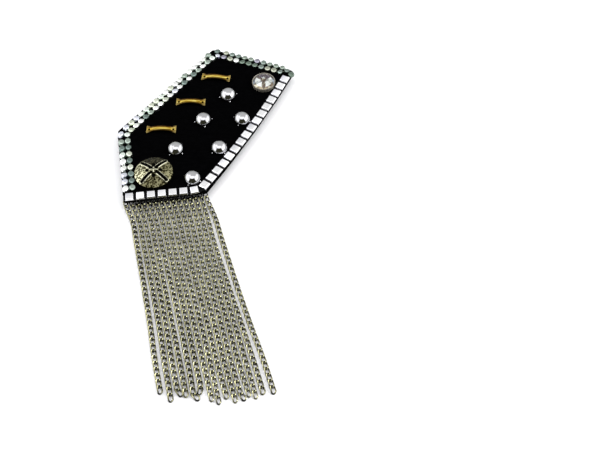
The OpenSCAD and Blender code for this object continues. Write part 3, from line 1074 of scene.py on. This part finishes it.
def curb_link():
    """One curb link along X: a ring drawn out, then twisted about its length.

    Its tone is painted shade: dark towards its hole and on all that doesn't face up.
    """
    size = sizes()
    half_w = (size.link_w - size.wire_d) / 2
    link = start(bpy.ops.mesh.primitive_torus_add, "curb_link", major_segments=14, minor_segments=6,
                 major_radius=half_w, minor_radius=size.wire_d / 2)
    only(link)
    # Painted shade towards the link's hole
    for vertex, item in zip(link.data.vertices, values_on(link, "tone")[0]):
        inward = -vertex.normal @ Vector((vertex.co.x, vertex.co.y, 0)).normalized()
        item.value = smooth_step(inward, -0.7, 0.3)
    for side in (-1, 1):
        choose(link, "VERT", lambda vertex: vertex.co.x * side > 1e-6)
        bpy.ops.transform.translate(value=(side * (size.link_len / 2 - half_w), 0, 0))
    apply_modifier(link, "SIMPLE_DEFORM", deform_method="TWIST", deform_axis="X",
                   angle=size.link_twist)
    # Painted shade on all that doesn't face up
    for vertex, item in zip(link.data.vertices, link.data.attributes["tone"].data):
        item.value = max(item.value, 1 - smooth_step(vertex.normal.z, 0.6, 0.95))
    return link


def curb_strand(name, route, swing, rng):
    """A row of links laid along a route, whose last link is swung aside."""
    size = sizes()
    data = bpy.data.curves.new(name + "_route", "CURVE")
    data.dimensions = "3D"
    data.twist_mode = "Z_UP"
    data.resolution_u = 24
    spline = data.splines.new("BEZIER")
    spline.bezier_points.add(len(route) - 1)
    for point, (place, width) in zip(spline.bezier_points, route):
        point.co = place
        point.handle_left_type = point.handle_right_type = "AUTO"
        point.tilt = rng.uniform(-0.04, 0.04)
        point.radius = width / size.link_w
    curve = added(name + "_route", data)
    reach = size.link_len + size.wire_d
    length = spline.calc_length() - reach
    count = round(length / size.link_pitch) + 1
    pitch = length / (count - 1)
    link = curb_link()
    link.data.transform(Matrix.Translation((reach / 2, 0, 0)))
    places = [Matrix.Translation((k * pitch, 0, 0)) for k in range(count - 1)]
    hinge = Matrix.Translation(((count - 1) * pitch + size.wire_d, 0, 0))
    places.append(hinge @ Matrix.Rotation(swing, 4, "Z") @ Matrix.Translation((-size.wire_d, 0, 0)))
    strand = copies(link, places, name)
    tone = strand.data.attributes["tone"].data
    each = len(tone) // count
    for k in range(count):
        dulled = rng.uniform(-0.15, 0.3)
        for item in tone[k * each:(k + 1) * each]:
            item.value = min(max(item.value + dulled, 0), 1)
    apply_modifier(strand, "CURVE", object=curve, deform_axis="POS_X")
    bpy.data.objects.remove(curve)
    lift = max(-min(vertex.co.z for vertex in strand.data.vertices), 0)
    strand.data.transform(Matrix.Translation((0, 0, lift)))
    return strand


class EPAULETTE_OT_stitches(bpy.types.Operator):
    """Sew each strand to the panel's back with two loops of thread"""
    bl_idname = "epaulette.stitches"
    bl_label = "Stitches"

    def execute(self, context):
        loop = start(bpy.ops.mesh.primitive_torus_add, "loop", major_segments=14, minor_segments=5,
                     major_radius=1 * MM, minor_radius=0.1 * MM)
        bpy.ops.transform.rotate(value=math.pi / 2, orient_axis="X", center_override=(0, 0, 0))
        places = []
        for name in CHAIN_NODES:
            (first, width), (second, _) = strand_route(name)[:2]
            way = second - first
            turn = Matrix.Rotation(math.atan2(way.x, -way.y), 4, "Z")
            shape = Matrix.Diagonal((width / 2 / MM - 0.08, 1, (FELT_BACK - first.z) / MM, 1))
            for share in (0.25, 0.6):
                places.append(Matrix.Translation(first + way * share) @ turn @ shape)
        loops = copies(loop, places, "stitches")
        done(loops, black_thread(), smooth=60)
        return {"FINISHED"}


class EPAULETTE_OT_stage(bpy.types.Operator):
    """Set the pale floor, the soft light and the camera"""
    bl_idname = "epaulette.stage"
    bl_label = "Stage"

    def execute(self, context):
        stage = context.scene.epaulette_stage
        floor = start(bpy.ops.mesh.primitive_plane_add, "floor", size=6, location=(0, 0, 0))
        only(floor)
        pale = new_material("pale floor", {"Roughness": 0.8, "Base Color": (*colours().floor, 1)})[0]
        floor.data.materials.append(pale)
        add_lights(stage)
        add_camera(stage)
        context.scene.view_settings.view_transform = "Standard"
        return {"FINISHED"}


def add_camera(stage):
    """The camera at the photograph's angle."""
    camera = added("camera", bpy.data.cameras.new("camera"))
    camera.data.lens = stage.lens
    camera.data.sensor_width = 36
    camera.data.clip_start = 0.01
    turn = Matrix.Rotation(stage.tilt, 4, "X") @ Matrix.Rotation(stage.roll, 4, "Z")
    camera.matrix_world = Matrix.Translation(stage.eye) @ turn
    bpy.context.scene.camera = camera


# Places of the key lights, and each one's share of the main one's power
KEY_LIGHTS = ((Vector((0.6, -0.1, 0.5)), 1.0), (Vector((-0.4, 0.3, 0.75)), 0.2))


def add_lights(stage):
    """A white room, brighter overhead and at both sides, dark in front, with two soft key lights."""
    world = bpy.context.scene.world or bpy.data.worlds.new("world")
    bpy.context.scene.world = world
    world.use_nodes = True
    tree = world.node_tree
    way = add_node(tree, "ShaderNodeTexCoord").outputs["Generated"]
    x, y, z = add_node(tree, "ShaderNodeSeparateXYZ", {0: way}).outputs

    def both(a, b):
        """Where two bands meet, each given by a value and where it is 0 and 1."""
        return combined(tree, "MULTIPLY", *(spread(tree, *band, "SMOOTHSTEP") for band in (a, b)))

    aside = combined(tree, "ABSOLUTE", x, 0.0)
    wedge = combined(tree, "ADD", combined(tree, "MULTIPLY", aside, 0.84), y)
    front = both((wedge, 0.0, -0.1), (z, 0.93, 0.87))
    above = both((y, 0.2, 0.08), (z, 0.8, 0.9))
    beside = both((aside, 0.5, 0.7), (z, 0.1, 0.35))
    lit = combined(tree, "MAXIMUM", above, beside)
    plain = ramp(tree, z, [
        (0.0, (0.5, 0.53, 0.5)), (0.35, (0.85, 0.86, 0.86)), (0.6, (1.0, 1.0, 1.0))])
    bright = mix_colour(tree, lit, plain, (2.3, 2.3, 2.35))
    colour = mix_colour(tree, front, bright, (0.05, 0.05, 0.03))
    plug(tree.nodes["Background"], {"Color": colour, "Strength": stage.sky})
    for place, share in KEY_LIGHTS:
        key = added("key light", bpy.data.lights.new("key light", "AREA"))
        key.data.energy = share * stage.key
        key.data.size = 0.3
        aim = (-place).to_track_quat("-Z", "Y")
        key.matrix_world = Matrix.Translation(place) @ aim.to_matrix().to_4x4()


class EPAULETTE_PT_panel(bpy.types.Panel):
    """Lists the pieces of the epaulette and their settings"""
    bl_label = "Epaulette"
    bl_idname = "EPAULETTE_PT_panel"
    bl_space_type = "VIEW_3D"
    bl_region_type = "UI"
    bl_category = "Epaulette"

    def draw(self, context):
        for piece in OPERATORS:
            self.layout.operator(piece.bl_idname)
        for key in SETTINGS:
            group = getattr(context.scene, key)
            box = self.layout.box()
            for name in group.__annotations__:
                box.prop(group, name)


OPERATORS = (
    EPAULETTE_OT_stage,
    EPAULETTE_OT_felt_panel,
    EPAULETTE_OT_tile_ribbon,
    EPAULETTE_OT_tiles,
    EPAULETTE_OT_stud_mesh,
    EPAULETTE_OT_domes,
    EPAULETTE_OT_gold_bars,
    EPAULETTE_OT_crystal,
    EPAULETTE_OT_button,
    EPAULETTE_OT_brooch_bar,
    EPAULETTE_OT_chains,
    EPAULETTE_OT_stitches,
)
SETTINGS = {"epaulette_sizes": EpauletteSizes, "epaulette_colours": EpauletteColours,
            "epaulette_stage": EpauletteStage}
CLASSES = (*SETTINGS.values(), *OPERATORS, EPAULETTE_PT_panel)


def register():
    for made in CLASSES:
        bpy.utils.register_class(made)
    for key, group in SETTINGS.items():
        setattr(bpy.types.Scene, key, PointerProperty(type=group))


def unregister():
    for key in SETTINGS:
        delattr(bpy.types.Scene, key)
    for made in reversed(CLASSES):
        bpy.utils.unregister_class(made)


def main():
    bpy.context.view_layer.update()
    register()
    bpy.ops.epaulette.stage()
    bpy.ops.epaulette.felt_panel()
    bpy.ops.epaulette.tile_ribbon()
    bpy.ops.epaulette.tiles()
    bpy.ops.epaulette.stud_mesh()
    bpy.ops.epaulette.domes()
    bpy.ops.epaulette.gold_bars()
    bpy.ops.epaulette.crystal()
    bpy.ops.epaulette.button()
    bpy.ops.epaulette.brooch_bar()
    bpy.ops.epaulette.chains()
    bpy.ops.epaulette.stitches()
    only()


if __name__ == "__main__":
    main()
